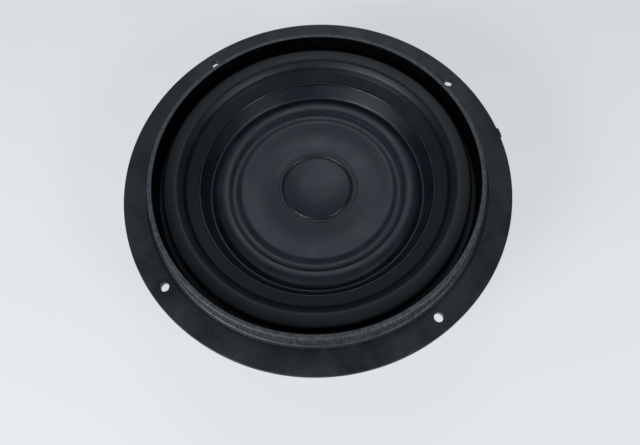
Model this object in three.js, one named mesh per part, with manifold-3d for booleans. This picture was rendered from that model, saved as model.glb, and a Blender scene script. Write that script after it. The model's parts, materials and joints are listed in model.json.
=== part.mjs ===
// A shallow eight-inch car woofer, modelled as the separate pieces it comes apart into.
// Millimetres, +Z towards the listener. The origin is the centre of the magnet system's rear
// face, so the driver stands on Z = 0 and the flange's front face is at FLANGE_FRONT.

import * as THREE from "three";
import { mergeVertices } from "three/addons/utils/BufferGeometryUtils.js";
import Module from "manifold-3d";

const wasm = await Module();
wasm.setup();

// ---------------------------------------------------------------- driving dimensions

const RING_SEGMENTS = 40; // facets round each turned piece
const SMALL_SEGMENTS = 12; // facets round screws and screw holes
const SEAM = 0.3; // gap kept where two pieces are glued or pressed together
const FLANGE_FRONT = 68;

const flange = { radius: 109, thickness: 3.5, holeCircle: 101.4, holeRadius: 2.5, holes: 4 };
const collar = { inner: 89.65, outer: 92.8, height: 10.5, fillet: 1.4, edge: 0.5 };
const gateNub = { angle: 21, width: 6, bottom: -3, top: -0.2, proud: 1, root: 3 };
const gasketRebate = { outer: 98.5, depth: 0.5 };
const surroundSeat = { inner: 83, drop: 3.6, thickness: 2 };
const wall = { inner: 86.8, innerTop: -7, outer: 91 };
const legs = { inner: 86, innerTop: -11, outer: 89.5, outerTop: -13, outerEnd: 60.5 };
const spiderSeat = { inner: 50.8, outer: 59.3, drop: 27.5, thickness: 3 };
const motorSeat = { inner: 32, outer: 55, outerTop: -31.5, thickness: 3.2, screwCircle: 42, screws: 4 };
const windows = { count: 4, inner: 61.5, outer: 87.5, halfAngle: 28, top: -9.5, bottom: -36 };

const backPlate = { radius: 47.5, thickness: 6, chamfer: 1.2 };
const pole = { radius: 19.1, vent: 8, proud: 0.5, chamfer: 0.8 };
const magnet = { inner: 30, outer: 50, thickness: 18, chamfer: 1 };
const topPlate = { inner: 21, outer: 47.5, thickness: 6, chamfer: 0.8 };
const ventScreen = { thickness: 0.6, inset: 1 };

const coil = { inner: 19.85, outer: 20.65, length: 18 };
const former = { inner: 19.45, outer: 19.75, belowCoil: 1 };
const cap = { radius: 20.05, rimDrop: 12.9, crown: 1, edge: 0.8, thickness: 0.7 };
const diaphragm = { thickness: 0.8, neckInner: 20.4, neckOuter: 21.4, neckTop: -13.7, neckEnd: -17 };
const surround = { thickness: 0.8, crease: 73.6, outer: 85.8, top: 3.4, footDrop: 2.5, footOuter: 89.3 };
const spider = { inner: 20.05, bend: 50.5, outer: 58.5, ridges: 4, amplitude: 1.3, thickness: 0.6 };

const gasket = { inner: 91.6, outer: 98, thickness: 3 };
const screw = { shank: 1.75, head: 3.6, headHeight: 2, length: 8.8, clearance: 2.05 };

const TERMINAL_ANGLE = -135; // the leg that carries the terminals, in degrees round +Z
const terminal = { height: -24.5, thickness: 0.8, start: 61, end: 96, tip: 0.8, hole: 0.9, holeFromEnd: 4 };
const poles = [
  { name: "positive", side: 1, width: 6.3 },
  { name: "negative", side: -1, width: 4.8 },
];
const POLE_OFFSET = 9; // from the middle of the terminal leg to each blade
const terminalBoss = { back: 66, face: 79, halfWidth: 16, bottom: -31, backTop: -25.5, faceTop: -17.3 };
const terminalBoard = { thickness: 2.5, halfWidth: 17, bottom: -31, top: -20.5 };
const terminalScrew = { shank: 1.3, head: 2.6, headHeight: 1.6, length: 9 };
const terminalScrewHole = { radius: 1.65, height: -28, start: 68, end: 88 };
const lead = { radius: 0.9, sides: 8, steps: 14 };
const leadTab = { angle: 20, width: 5, thickness: 0.5, bottom: -22.5, top: -18.5 };

// ---------------------------------------------------------------- heights up the stack

const MAGNET_BOTTOM = backPlate.thickness + SEAM;
const TOP_PLATE_BOTTOM = MAGNET_BOTTOM + magnet.thickness + SEAM;
const TOP_PLATE_TOP = TOP_PLATE_BOTTOM + topPlate.thickness;
const MOTOR_SEAT_BOTTOM = TOP_PLATE_TOP + SEAM;
const MOTOR_SEAT_TOP = MOTOR_SEAT_BOTTOM + motorSeat.thickness;
const COIL_CENTRE = (TOP_PLATE_BOTTOM + TOP_PLATE_TOP) / 2;
const FORMER_TOP = FLANGE_FRONT - cap.rimDrop - cap.thickness - SEAM;

// ---------------------------------------------------------------- finishes

const finish = (color, roughness, metalness) =>
  new THREE.MeshStandardMaterial({ color, roughness, metalness });

const finishes = {
  mouldedPlastic: finish(0x232629, 0.5, 0),
  rubber: finish(0x1b1e1d, 0.6, 0),
  polypropylene: finish(0x20242b, 0.4, 0),
  glassFabric: finish(0x8a6a34, 0.5, 0),
  copper: finish(0xb06a38, 0.35, 1),
  treatedCloth: finish(0xb99a4e, 0.9, 0),
  ferrite: finish(0x3a3b3d, 0.7, 0.2),
  coatedSteel: finish(0x1d1e20, 0.45, 0.6),
  zincSteel: finish(0xb9bcc0, 0.35, 1),
  tinnedBrass: finish(0xcbc5b4, 0.35, 1),
  tinselBraid: finish(0xa98f62, 0.5, 0.7),
  foam: finish(0x222224, 0.95, 0),
  fibreBoard: finish(0x191a1b, 0.6, 0),
};

// ---------------------------------------------------------------- outlines and solids

/** A point at a radius from the axis and a height above the flange's front face. */
const atFlange = (radius, height) => [radius, FLANGE_FRONT + height];

/** Points along an arc in the radius and height plane, angles in degrees. */
function arc([centreRadius, centreHeight], radius, from, to, steps) {
  return Array.from({ length: steps + 1 }, (_, i) => {
    const angle = THREE.MathUtils.degToRad(from + ((to - from) * i) / steps);
    return [centreRadius + radius * Math.cos(angle), centreHeight + radius * Math.sin(angle)];
  });
}

/** The back of a sheet whose front runs outwards from the axis, at an even thickness. */
function backOf(front, thickness) {
  return front.map(([radius, height], i) => {
    const before = front[Math.max(i - 1, 0)];
    const after = front[Math.min(i + 1, front.length - 1)];
    const along = new THREE.Vector2(after[0] - before[0], after[1] - before[1]).normalize();
    return [radius + along.y * thickness, height - along.x * thickness];
  });
}

/** The closed outline of a sheet, anticlockwise: in along the front, then out along the back. */
const sheetOutline = (front, thickness) => [...front.toReversed(), ...backOf(front, thickness)];

/** A plain ring's outline, with its four edges chamfered. */
function ringOutline(inner, outer, bottom, top, chamfer = 0) {
  if (chamfer === 0) {
    return [[outer, bottom], [outer, top], [inner, top], [inner, bottom]];
  }
  return [
    [outer - chamfer, bottom],
    [outer, bottom + chamfer],
    [outer, top - chamfer],
    [outer - chamfer, top],
    [inner + chamfer, top],
    [inner, top - chamfer],
    [inner, bottom + chamfer],
    [inner + chamfer, bottom],
  ];
}

/** An anticlockwise outline turned about Z. It closes on itself unless it starts on the axis. */
function turned(outline, segments = RING_SEGMENTS) {
  const points = outline.map(([radius, height]) => new THREE.Vector2(radius, height));
  if (outline[0][0] > 0) points.push(points[0].clone());
  return new THREE.LatheGeometry(points, segments).rotateX(Math.PI / 2);
}

/** A box from its lowest to its highest corner. */
function block([x0, y0, z0], [x1, y1, z1]) {
  return new THREE.BoxGeometry(x1 - x0, y1 - y0, z1 - z0).translate(
    (x0 + x1) / 2,
    (y0 + y1) / 2,
    (z0 + z1) / 2,
  );
}

/** A round bar along Z. */
function bar(radius, bottom, top, x = 0, y = 0) {
  return new THREE.CylinderGeometry(radius, radius, top - bottom, SMALL_SEGMENTS)
    .rotateX(Math.PI / 2)
    .translate(x, y, (bottom + top) / 2);
}

/** The solid that a closed geometry bounds. */
function solidOf(geometry) {
  const bare = geometry.clone();
  bare.deleteAttribute("normal");
  bare.deleteAttribute("uv");
  const merged = mergeVertices(bare, 1e-4);
  const mesh = new wasm.Mesh({
    numProp: 3,
    vertProperties: merged.attributes.position.array,
    triVerts: new Uint32Array(merged.index.array),
  });
  return new wasm.Manifold(mesh);
}

/** A base geometry with others joined on and then more cut out of it. */
function carved(base, { joined = [], cut = [] }) {
  let solid = solidOf(base);
  for (const geometry of joined) solid = solid.add(solidOf(geometry));
  for (const geometry of cut) solid = solid.subtract(solidOf(geometry));
  const mesh = solid.getMesh();
  return new THREE.BufferGeometry()
    .setAttribute("position", new THREE.BufferAttribute(mesh.vertProperties, 3))
    .setIndex(new THREE.BufferAttribute(mesh.triVerts, 1));
}

/** A named piece in its finish. */
function piece(name, geometry, material) {
  const mesh = new THREE.Mesh(geometry, material);
  mesh.name = name;
  return mesh;
}

/** Angles spaced evenly round the axis, in radians. */
function spaced(count, firstDegrees = 0) {
  const step = 360 / count;
  return Array.from({ length: count }, (_, i) => THREE.MathUtils.degToRad(firstDegrees + step * i));
}

/** Bars that cut evenly spaced holes through a plate, from its bottom to its top. */
function holeCutters(radius, circle, bottom, top, angles) {
  return angles.map((angle) => bar(radius, bottom - 1, top + 1, circle).rotateZ(angle));
}

// ---------------------------------------------------------------- basket

function basketOutline() {
  const fillet = [collar.outer + collar.fillet, FLANGE_FRONT + collar.fillet];
  const seat = -surroundSeat.drop;
  const shelf = -spiderSeat.drop;
  return [
    atFlange(flange.radius, -flange.thickness),
    atFlange(flange.radius, 0),
    ...arc(fillet, collar.fillet, -90, -180, 3),
    atFlange(collar.outer, collar.height - collar.edge),
    atFlange(collar.outer - collar.edge, collar.height),
    atFlange(collar.inner + collar.edge, collar.height),
    atFlange(collar.inner, collar.height - collar.edge),
    atFlange(collar.inner, seat),
    atFlange(surroundSeat.inner, seat),
    atFlange(surroundSeat.inner, seat - surroundSeat.thickness),
    atFlange(wall.inner, wall.innerTop),
    atFlange(legs.inner, legs.innerTop),
    atFlange(spiderSeat.outer, shelf),
    atFlange(spiderSeat.inner, shelf),
    [spiderSeat.inner, MOTOR_SEAT_TOP],
    [motorSeat.inner, MOTOR_SEAT_TOP],
    [motorSeat.inner, MOTOR_SEAT_BOTTOM],
    [motorSeat.outer, MOTOR_SEAT_BOTTOM],
    atFlange(motorSeat.outer, motorSeat.outerTop),
    atFlange(legs.outerEnd, shelf - spiderSeat.thickness),
    atFlange(legs.outer, legs.outerTop),
    atFlange(wall.outer, gasketRebate.depth - flange.thickness),
    atFlange(gasketRebate.outer, gasketRebate.depth - flange.thickness),
    atFlange(gasketRebate.outer, -flange.thickness),
  ];
}

/** Cuts one window between two legs, as a sector of a ring. */
function windowCutter(angle) {
  const half = THREE.MathUtils.degToRad(windows.halfAngle);
  const sector = new THREE.Shape()
    .absarc(0, 0, windows.outer, -half, half, false)
    .absarc(0, 0, windows.inner, half, -half, true);
  return new THREE.ExtrudeGeometry(sector, {
    depth: windows.top - windows.bottom,
    bevelEnabled: false,
    curveSegments: 8,
  })
    .rotateZ(angle)
    .translate(0, 0, FLANGE_FRONT + windows.bottom);
}

/** The solid pad under one leg that the terminal board is screwed to. */
function terminalBossGeometry() {
  const side = new THREE.Shape([
    new THREE.Vector2(terminalBoss.back, terminalBoss.bottom),
    new THREE.Vector2(terminalBoss.face, terminalBoss.bottom),
    new THREE.Vector2(terminalBoss.face, terminalBoss.faceTop),
    new THREE.Vector2(terminalBoss.back, terminalBoss.backTop),
  ]);
  return new THREE.ExtrudeGeometry(side, { depth: 2 * terminalBoss.halfWidth, bevelEnabled: false })
    .rotateX(Math.PI / 2)
    .translate(0, terminalBoss.halfWidth, FLANGE_FRONT);
}

/** The slot that one terminal blade passes through, in the basket and in the board. */
function bladeSlot({ side, width }) {
  const centre = side * POLE_OFFSET;
  const halfWidth = width / 2 + SEAM;
  const halfHeight = terminal.thickness / 2 + SEAM;
  const height = FLANGE_FRONT + terminal.height;
  return block(
    [terminal.start - 1, centre - halfWidth, height - halfHeight],
    [terminalScrewHole.end, centre + halfWidth, height + halfHeight],
  );
}

/** Cutters for the blades and the fixing screw, along +X. */
function terminalCutters() {
  const { radius, height, start, end } = terminalScrewHole;
  const hole = bar(radius, start, end)
    .rotateY(Math.PI / 2)
    .translate(0, 0, FLANGE_FRONT + height);
  return [...poles.map(bladeSlot), hole];
}

function basketGeometry() {
  const toTerminals = THREE.MathUtils.degToRad(TERMINAL_ANGLE);
  const nub = block(
    [flange.radius - gateNub.root, -gateNub.width / 2, FLANGE_FRONT + gateNub.bottom],
    [flange.radius + gateNub.proud, gateNub.width / 2, FLANGE_FRONT + gateNub.top],
  ).rotateZ(THREE.MathUtils.degToRad(gateNub.angle));
  const flangeHoles = holeCutters(
    flange.holeRadius,
    flange.holeCircle,
    FLANGE_FRONT - flange.thickness,
    FLANGE_FRONT,
    spaced(flange.holes, 45),
  );
  const motorHoles = holeCutters(
    screw.clearance,
    motorSeat.screwCircle,
    MOTOR_SEAT_BOTTOM,
    MOTOR_SEAT_TOP,
    spaced(motorSeat.screws),
  );
  const terminalCuts = terminalCutters().map((geometry) => geometry.rotateZ(toTerminals));
  return carved(turned(basketOutline()), {
    joined: [nub, terminalBossGeometry().rotateZ(toTerminals)],
    cut: [...spaced(windows.count).map(windowCutter), ...flangeHoles, ...motorHoles, ...terminalCuts],
  });
}

// ---------------------------------------------------------------- magnet system

function backPlateGeometry() {
  const { radius, thickness, chamfer } = backPlate;
  const top = TOP_PLATE_TOP + pole.proud;
  return turned([
    [radius - chamfer, 0],
    [radius, chamfer],
    [radius, thickness - chamfer],
    [radius - chamfer, thickness],
    [pole.radius, thickness],
    [pole.radius, top - pole.chamfer],
    [pole.radius - pole.chamfer, top],
    [pole.vent + pole.chamfer, top],
    [pole.vent, top - pole.chamfer],
    [pole.vent, pole.chamfer],
    [pole.vent + pole.chamfer, 0],
  ]);
}

function topPlateGeometry() {
  const ring = ringOutline(
    topPlate.inner,
    topPlate.outer,
    TOP_PLATE_BOTTOM,
    TOP_PLATE_TOP,
    topPlate.chamfer,
  );
  const tapped = holeCutters(
    screw.clearance,
    motorSeat.screwCircle,
    TOP_PLATE_BOTTOM,
    TOP_PLATE_TOP,
    spaced(motorSeat.screws),
  );
  return carved(turned(ring), { cut: tapped });
}

/** A pan-headed screw, head up, with the underside of its head at height 0. */
function screwGeometry({ shank, head, headHeight, length }) {
  return turned(
    [
      [0, -length],
      [shank * 0.6, -length],
      [shank, -length + shank],
      [shank, 0],
      [head, 0],
      [head, headHeight * 0.5],
      [head * 0.7, headHeight],
      [0, headHeight],
    ],
    SMALL_SEGMENTS,
  );
}

function magnetSystem() {
  const group = new THREE.Group();
  const magnetTop = MAGNET_BOTTOM + magnet.thickness;
  const ring = ringOutline(magnet.inner, magnet.outer, MAGNET_BOTTOM, magnetTop, magnet.chamfer);
  const screenTop = ventScreen.inset + ventScreen.thickness;
  const screen = [
    [0, ventScreen.inset],
    [pole.vent - SEAM, ventScreen.inset],
    [pole.vent - SEAM, screenTop],
    [0, screenTop],
  ];
  group.add(
    piece("back_plate_and_pole", backPlateGeometry(), finishes.coatedSteel),
    piece("magnet", turned(ring), finishes.ferrite),
    piece("top_plate", topPlateGeometry(), finishes.coatedSteel),
    piece("vent_screen", turned(screen), finishes.zincSteel),
  );
  spaced(motorSeat.screws).forEach((angle, i) => {
    const made = piece(`motor_screw_${i + 1}`, screwGeometry(screw), finishes.zincSteel);
    made.position.set(
      motorSeat.screwCircle * Math.cos(angle),
      motorSeat.screwCircle * Math.sin(angle),
      MOTOR_SEAT_TOP + SEAM,
    );
    group.add(made);
  });
  return group;
}

// ---------------------------------------------------------------- terminals and leads

/** A push-on blade that lies flat, with its solder tail inside the basket. */
function bladeGeometry(width) {
  const half = width / 2;
  const { start, end, tip, thickness, hole, holeFromEnd } = terminal;
  const strip = new THREE.Shape([
    new THREE.Vector2(start, -half),
    new THREE.Vector2(end - tip, -half),
    new THREE.Vector2(end, -half + tip),
    new THREE.Vector2(end, half - tip),
    new THREE.Vector2(end - tip, half),
    new THREE.Vector2(start, half),
  ]);
  strip.holes.push(new THREE.Path().absarc(end - holeFromEnd, 0, hole, 0, 2 * Math.PI, true));
  return new THREE.ExtrudeGeometry(strip, { depth: thickness, bevelEnabled: false, curveSegments: 8 });
}

/** The braided lead from a blade's tail to the tab on the coil former, for side +1 or -1. */
function leadGeometry(side) {
  const tabAngle = THREE.MathUtils.degToRad(side * leadTab.angle);
  const tabRadius = former.outer + SEAM + leadTab.thickness + SEAM;
  const route = new THREE.CatmullRomCurve3([
    new THREE.Vector3(62.5, side * POLE_OFFSET, -22.9),
    new THREE.Vector3(57, side * POLE_OFFSET, -22.5),
    new THREE.Vector3(48, side * 8.8, -19.8),
    new THREE.Vector3(38, side * 8.6, -18.6),
    new THREE.Vector3(29, side * POLE_OFFSET, -20),
    new THREE.Vector3(tabRadius * Math.cos(tabAngle), tabRadius * Math.sin(tabAngle), -20.6),
  ]);
  const section = new THREE.Shape(
    spaced(lead.sides).map(
      (angle) => new THREE.Vector2(lead.radius * Math.cos(angle), lead.radius * Math.sin(angle)),
    ),
  );
  return new THREE.ExtrudeGeometry(section, {
    steps: lead.steps,
    bevelEnabled: false,
    extrudePath: route,
  }).translate(0, 0, FLANGE_FRONT);
}

function terminalBoardGeometry() {
  const face = terminalBoss.face + SEAM;
  const board = block(
    [face, -terminalBoard.halfWidth, FLANGE_FRONT + terminalBoard.bottom],
    [face + terminalBoard.thickness, terminalBoard.halfWidth, FLANGE_FRONT + terminalBoard.top],
  );
  return carved(board, { cut: terminalCutters() });
}

/** Everything on the terminal leg, modelled along +X and then turned to the leg. */
function terminals() {
  const group = new THREE.Group();
  group.rotation.z = THREE.MathUtils.degToRad(TERMINAL_ANGLE);
  const boardFace = terminalBoss.face + SEAM + terminalBoard.thickness + SEAM;
  const fixing = piece("terminal_screw", screwGeometry(terminalScrew), finishes.zincSteel);
  fixing.rotation.y = Math.PI / 2;
  fixing.position.set(boardFace, 0, FLANGE_FRONT + terminalScrewHole.height);
  group.add(piece("terminal_board", terminalBoardGeometry(), finishes.fibreBoard), fixing);

  for (const { name, side, width } of poles) {
    const blade = piece(`terminal_blade_${name}`, bladeGeometry(width), finishes.tinnedBrass);
    const bladeBottom = FLANGE_FRONT + terminal.height - terminal.thickness / 2;
    blade.position.set(0, side * POLE_OFFSET, bladeBottom);

    const tabFace = former.outer + SEAM;
    const tab = block(
      [tabFace, -leadTab.width / 2, FLANGE_FRONT + leadTab.bottom],
      [tabFace + leadTab.thickness, leadTab.width / 2, FLANGE_FRONT + leadTab.top],
    );
    const solder = piece(`lead_tab_${name}`, tab, finishes.tinnedBrass);
    solder.rotation.z = THREE.MathUtils.degToRad(side * leadTab.angle);
    group.add(blade, solder, piece(`tinsel_lead_${name}`, leadGeometry(side), finishes.tinselBraid));
  }
  return group;
}

// ---------------------------------------------------------------- moving assembly

function diaphragmGeometry() {
  const front = [
    atFlange(diaphragm.neckInner, -13.1),
    atFlange(21, -12.9),
    atFlange(33, -13.1),
    atFlange(45.8, -12),
    atFlange(47.3, -12.4),
    atFlange(50.5, -11),
    atFlange(54.5, -9.6),
    atFlange(58.5, -11.3),
    atFlange(62.1, -13.4),
    atFlange(64.6, -10.4),
    atFlange(67, -5.8),
    atFlange(73.5, -2.45),
  ];
  const neck = [
    atFlange(diaphragm.neckInner, diaphragm.neckEnd),
    atFlange(diaphragm.neckOuter, diaphragm.neckEnd),
    atFlange(diaphragm.neckOuter, diaphragm.neckTop),
  ];
  const back = backOf(front, diaphragm.thickness).slice(2);
  return turned([...front.toReversed(), ...neck, ...back]);
}

function capGeometry() {
  const rim = -cap.rimDrop;
  return turned([
    atFlange(0, rim - cap.thickness),
    atFlange(cap.radius, rim - cap.thickness),
    atFlange(cap.radius, rim - cap.thickness / 2),
    atFlange(cap.radius - cap.edge, rim),
    atFlange(cap.radius / 2, rim + 0.75 * cap.crown),
    atFlange(0, rim + cap.crown),
  ]);
}

/** Glue flange on the cone, a ramp up to a wide flat-topped roll, then a foot on the basket's seat. */
function surroundGeometry() {
  const { crease, outer, top, footDrop, footOuter } = surround;
  const front = [
    atFlange(67.5, -4.2),
    atFlange(crease, -1.2),
    atFlange(74.9, 0.6),
    atFlange(77.5, 2.5),
    atFlange(79.5, top - 0.2),
    atFlange(82, top),
    atFlange(outer - 1.5, top),
    atFlange(outer - 0.5, top - 0.5),
    atFlange(outer, top - 1.5),
    atFlange(outer, 0.5 - footDrop),
    atFlange(outer + 0.5, -footDrop),
    atFlange(footOuter, -footDrop),
  ];
  return turned(sheetOutline(front, surround.thickness));
}

/** The corrugated centring disc: ridges and furrows in turn, then a flat rim on its shelf. */
function spiderGeometry() {
  const middle = -spiderSeat.drop + SEAM + spider.thickness;
  const halfRidges = 2 * spider.ridges;
  const pitch = (spider.bend - spider.inner) / (halfRidges + 1);
  const wave = Array.from({ length: halfRidges }, (_, i) =>
    atFlange(spider.inner + pitch * (i + 1), middle + (i % 2 ? -1 : 1) * spider.amplitude),
  );
  const front = [
    atFlange(spider.inner, middle),
    ...wave,
    atFlange(spider.bend, middle),
    atFlange(spider.outer, middle),
  ];
  return turned(sheetOutline(front, spider.thickness));
}

function movingAssembly() {
  const group = new THREE.Group();
  const coilBottom = COIL_CENTRE - coil.length / 2;
  const winding = ringOutline(coil.inner, coil.outer, coilBottom, coilBottom + coil.length);
  const tube = ringOutline(former.inner, former.outer, coilBottom - former.belowCoil, FORMER_TOP);
  group.add(
    piece("diaphragm", diaphragmGeometry(), finishes.polypropylene),
    piece("dust_cap", capGeometry(), finishes.polypropylene),
    piece("coil_former", turned(tube), finishes.glassFabric),
    piece("voice_coil", turned(winding), finishes.copper),
  );
  return group;
}

// ---------------------------------------------------------------- the driver

function soundingParts() {
  const group = new THREE.Group();
  const gasketTop = FLANGE_FRONT - flange.thickness + gasketRebate.depth - SEAM;
  const strip = ringOutline(gasket.inner, gasket.outer, gasketTop - gasket.thickness, gasketTop);
  group.add(
    piece("basket", basketGeometry(), finishes.mouldedPlastic),
    piece("flange_gasket", turned(strip), finishes.foam),
    piece("surround", surroundGeometry(), finishes.rubber),
    piece("spider", spiderGeometry(), finishes.treatedCloth),
  );
  return group;
}

const woofer = new THREE.Group();
woofer.add(soundingParts(), movingAssembly(), magnetSystem(), terminals());

export default woofer;
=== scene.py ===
"""The looks of a shallow eight-inch car woofer, built piece by piece round its CAD frame."""
import json
from math import atan2, ceil, cos, degrees, hypot, pi, radians, sin, sqrt, tan

import bmesh
import bpy
from mathutils import Matrix, Vector


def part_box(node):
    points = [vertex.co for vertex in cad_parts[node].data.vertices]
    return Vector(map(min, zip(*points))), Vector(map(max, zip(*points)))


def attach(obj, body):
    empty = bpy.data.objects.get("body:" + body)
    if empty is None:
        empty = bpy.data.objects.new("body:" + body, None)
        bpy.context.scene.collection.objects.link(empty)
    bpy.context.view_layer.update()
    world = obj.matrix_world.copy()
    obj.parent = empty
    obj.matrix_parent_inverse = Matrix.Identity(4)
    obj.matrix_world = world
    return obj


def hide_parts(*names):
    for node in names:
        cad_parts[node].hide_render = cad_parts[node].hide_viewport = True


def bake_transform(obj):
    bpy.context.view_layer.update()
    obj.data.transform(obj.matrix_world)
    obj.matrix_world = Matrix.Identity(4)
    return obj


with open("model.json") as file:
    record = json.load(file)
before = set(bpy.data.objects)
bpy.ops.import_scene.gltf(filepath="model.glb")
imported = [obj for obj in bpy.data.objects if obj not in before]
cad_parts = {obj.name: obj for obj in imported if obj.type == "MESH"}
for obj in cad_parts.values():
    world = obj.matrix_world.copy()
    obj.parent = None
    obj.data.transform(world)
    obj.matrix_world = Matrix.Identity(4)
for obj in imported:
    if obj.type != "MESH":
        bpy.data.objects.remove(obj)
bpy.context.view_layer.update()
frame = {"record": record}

SCENE = bpy.context.scene
MM = 0.001  # outlines are written in millimetres, and everything in Blender is in metres

# ------------------------------------------------------------------ places taken from the frame

MOUNTS = {mount["name"]: Vector(mount["pos_m"]) / MM for mount in frame["record"]["mounts"]}
FLANGE_FRONT = MOUNTS["flange_front"].z  # heights on the basket and cone count from here
FLANGE_REAR = MOUNTS["flange_rear"].z - FLANGE_FRONT
BLADE_END = (MOUNTS["terminal_positive"].xy + MOUNTS["terminal_negative"].xy).length / 2
BLADE_OFFSET = (MOUNTS["terminal_positive"].xy - MOUNTS["terminal_negative"].xy).length / 2
BLADE_HEIGHT = MOUNTS["terminal_positive"].z
TO_TERMINALS = Matrix.Rotation(radians(-135), 4, "Z")

RING_STEPS = 360  # faces round the large rings, one a degree
SMALL_RING_STEPS = 96
TINY_RING_STEPS = 32
ARC_STEP = radians(15)  # a rounded corner gets a face at least every 15 degrees
TOUCH = 1e-6  # points closer than this many metres are one point

FLANGE_RADIUS = 109  # radii in millimetres, heights from the flange's front
COLLAR_BORE = 89.65
COLLAR_TOP = 10.5
SHELF = -27.5  # where the spider's rim is glued
SHEET = 0.8  # wall of the cone and of the surround


def size_mm(node):
    """Lowest and highest corner of a CAD node, in millimetres."""
    low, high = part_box(node)
    return low / MM, high / MM


# ------------------------------------------------------------------ outlines


def rounded(corners, closed=True):
    """Points of an outline whose corners are (across, up, rounding), in millimetres."""
    points = []
    for i, (across, height, rounding) in enumerate(corners):
        here = Vector((across, 0, height))
        if not rounding or (not closed and i in (0, len(corners) - 1)):
            points.append(here)
            continue
        before, after = corners[i - 1], corners[(i + 1) % len(corners)]
        back = (Vector((before[0], 0, before[1])) - here).normalized()
        on = (Vector((after[0], 0, after[1])) - here).normalized()
        half = back.angle(on) / 2
        centre = here + (back + on).normalized() * rounding / sin(half)
        first = here + back * rounding / tan(half) - centre
        last = here + on * rounding / tan(half) - centre
        steps = max(4, ceil((pi - 2 * half) / ARC_STEP))
        points += [centre + first.slerp(last, k / steps) * rounding for k in range(steps + 1)]
    return points


def ring_corners(low, high, inner, rounding):
    """Corners of a plain ring that fills a CAD node's box from an inner radius out."""
    return [
        (high.x, low.z, rounding),
        (high.x, high.z, rounding),
        (inner, high.z, rounding),
        (inner, low.z, rounding),
    ]


def circle(radius, x=0.0, y=0.0, steps=TINY_RING_STEPS):
    """A round loop of (x, y) points."""
    turns = [2 * pi * k / steps for k in range(steps)]
    return [(x + radius * cos(turn), y + radius * sin(turn)) for turn in turns]


def rectangle(width, height, x=0.0, y=0.0, rounding=0.0):
    """A rectangle's loop of (x, y) points about a centre."""
    signs = ((1, -1), (1, 1), (-1, 1), (-1, -1))
    corners = [(x + sx * width / 2, y + sy * height / 2, rounding) for sx, sy in signs]
    return [(point.x, point.z) for point in rounded(corners)]


def bead_section(radius, height, width, thickness):
    """The oval section of a line of adhesive."""
    return [Vector((radius + x * width / 2, 0, height + y * thickness / 2)) for x, y in circle(1, steps=12)]


def smooth_route(knots, steps):
    """Evenly stepped points on a smooth curve through the knots."""
    knots = [Vector(knot) for knot in knots]
    padded = [2 * knots[0] - knots[1], *knots, 2 * knots[-1] - knots[-2]]
    points = []
    for a, b, c, d in zip(padded, padded[1:], padded[2:], padded[3:]):
        for k in range(steps):
            t = k / steps
            slope = (c - a) * t
            bend = (2 * a - 5 * b + 4 * c - d) * t**2
            twist = (3 * b - a - 3 * c + d) * t**3
            points.append((2 * b + slope + bend + twist) / 2)
    return [*points, knots[-1]]


# ------------------------------------------------------------------ mesh tools


def verts_of(parts):
    """The vertices among an operator's results."""
    return [part for part in parts if isinstance(part, bmesh.types.BMVert)]


def open_edges_of(parts):
    """The edges among an operator's results that have only one face."""
    return [part for part in parts if isinstance(part, bmesh.types.BMEdge) and part.is_boundary]


def spun(outline, base=0.0, closed=True, steps=RING_STEPS):
    """A ring or disc turned about Z from an outline in millimetres: a quarter turn, mirrored twice."""
    bm = bmesh.new()
    row = [bm.verts.new((point.x * MM, 0, (base + point.z) * MM)) for point in outline]
    for a, b in zip(row, row[1:] + (row[:1] if closed else [])):
        bm.edges.new((a, b))
    line = bm.verts[:] + bm.edges[:]
    bmesh.ops.spin(bm, geom=line, axis=(0, 0, 1), angle=pi / 2, steps=steps // 4, use_merge=False)
    for axis in "XY":
        everything = bm.verts[:] + bm.edges[:] + bm.faces[:]
        bmesh.ops.mirror(bm, geom=everything, axis=axis, merge_dist=TOUCH)
    bmesh.ops.remove_doubles(bm, verts=bm.verts, dist=TOUCH)
    bmesh.ops.recalc_face_normals(bm, faces=bm.faces)
    return bm


def thickened(bm, skin):
    """Gives an open sheet its thickness in millimetres, below its upper face."""
    if sum(face.normal.z * face.calc_area() for face in bm.faces) < 0:
        bmesh.ops.reverse_faces(bm, faces=bm.faces)
    bmesh.ops.solidify(bm, geom=bm.faces[:], thickness=skin * MM)
    return bm


def soften(bm, edges, width, sharper_than=30):
    """Bevels those of the edges that are sharp."""
    joined = [edge for edge in edges if edge.is_manifold]
    sharp = [edge for edge in joined if degrees(edge.calc_face_angle()) > sharper_than]
    settings = {"affect": "EDGES", "segments": 2, "profile": 0.5, "material": -1, "clamp_overlap": True}
    bmesh.ops.bevel(bm, geom=sharp, offset=width * MM, **settings)


def plate(outline, holes, thickness, softening):
    """A flat plate with its underside at height 0, cut to loops of (x, y) points in millimetres."""
    bm = bmesh.new()
    edges = []
    for loop in [outline, *holes]:
        verts = [bm.verts.new((x * MM, y * MM, 0)) for x, y in loop]
        edges += [bm.edges.new(pair) for pair in zip(verts, verts[1:] + verts[:1])]
    bmesh.ops.triangle_fill(bm, use_beauty=True, edges=edges)
    raised = bmesh.ops.extrude_face_region(bm, geom=bm.faces[:])["geom"]
    bmesh.ops.translate(bm, verts=verts_of(raised), vec=(0, 0, thickness * MM))
    bmesh.ops.recalc_face_normals(bm, faces=bm.faces)
    soften(bm, bm.edges[:], softening, sharper_than=60)
    return bm


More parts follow.
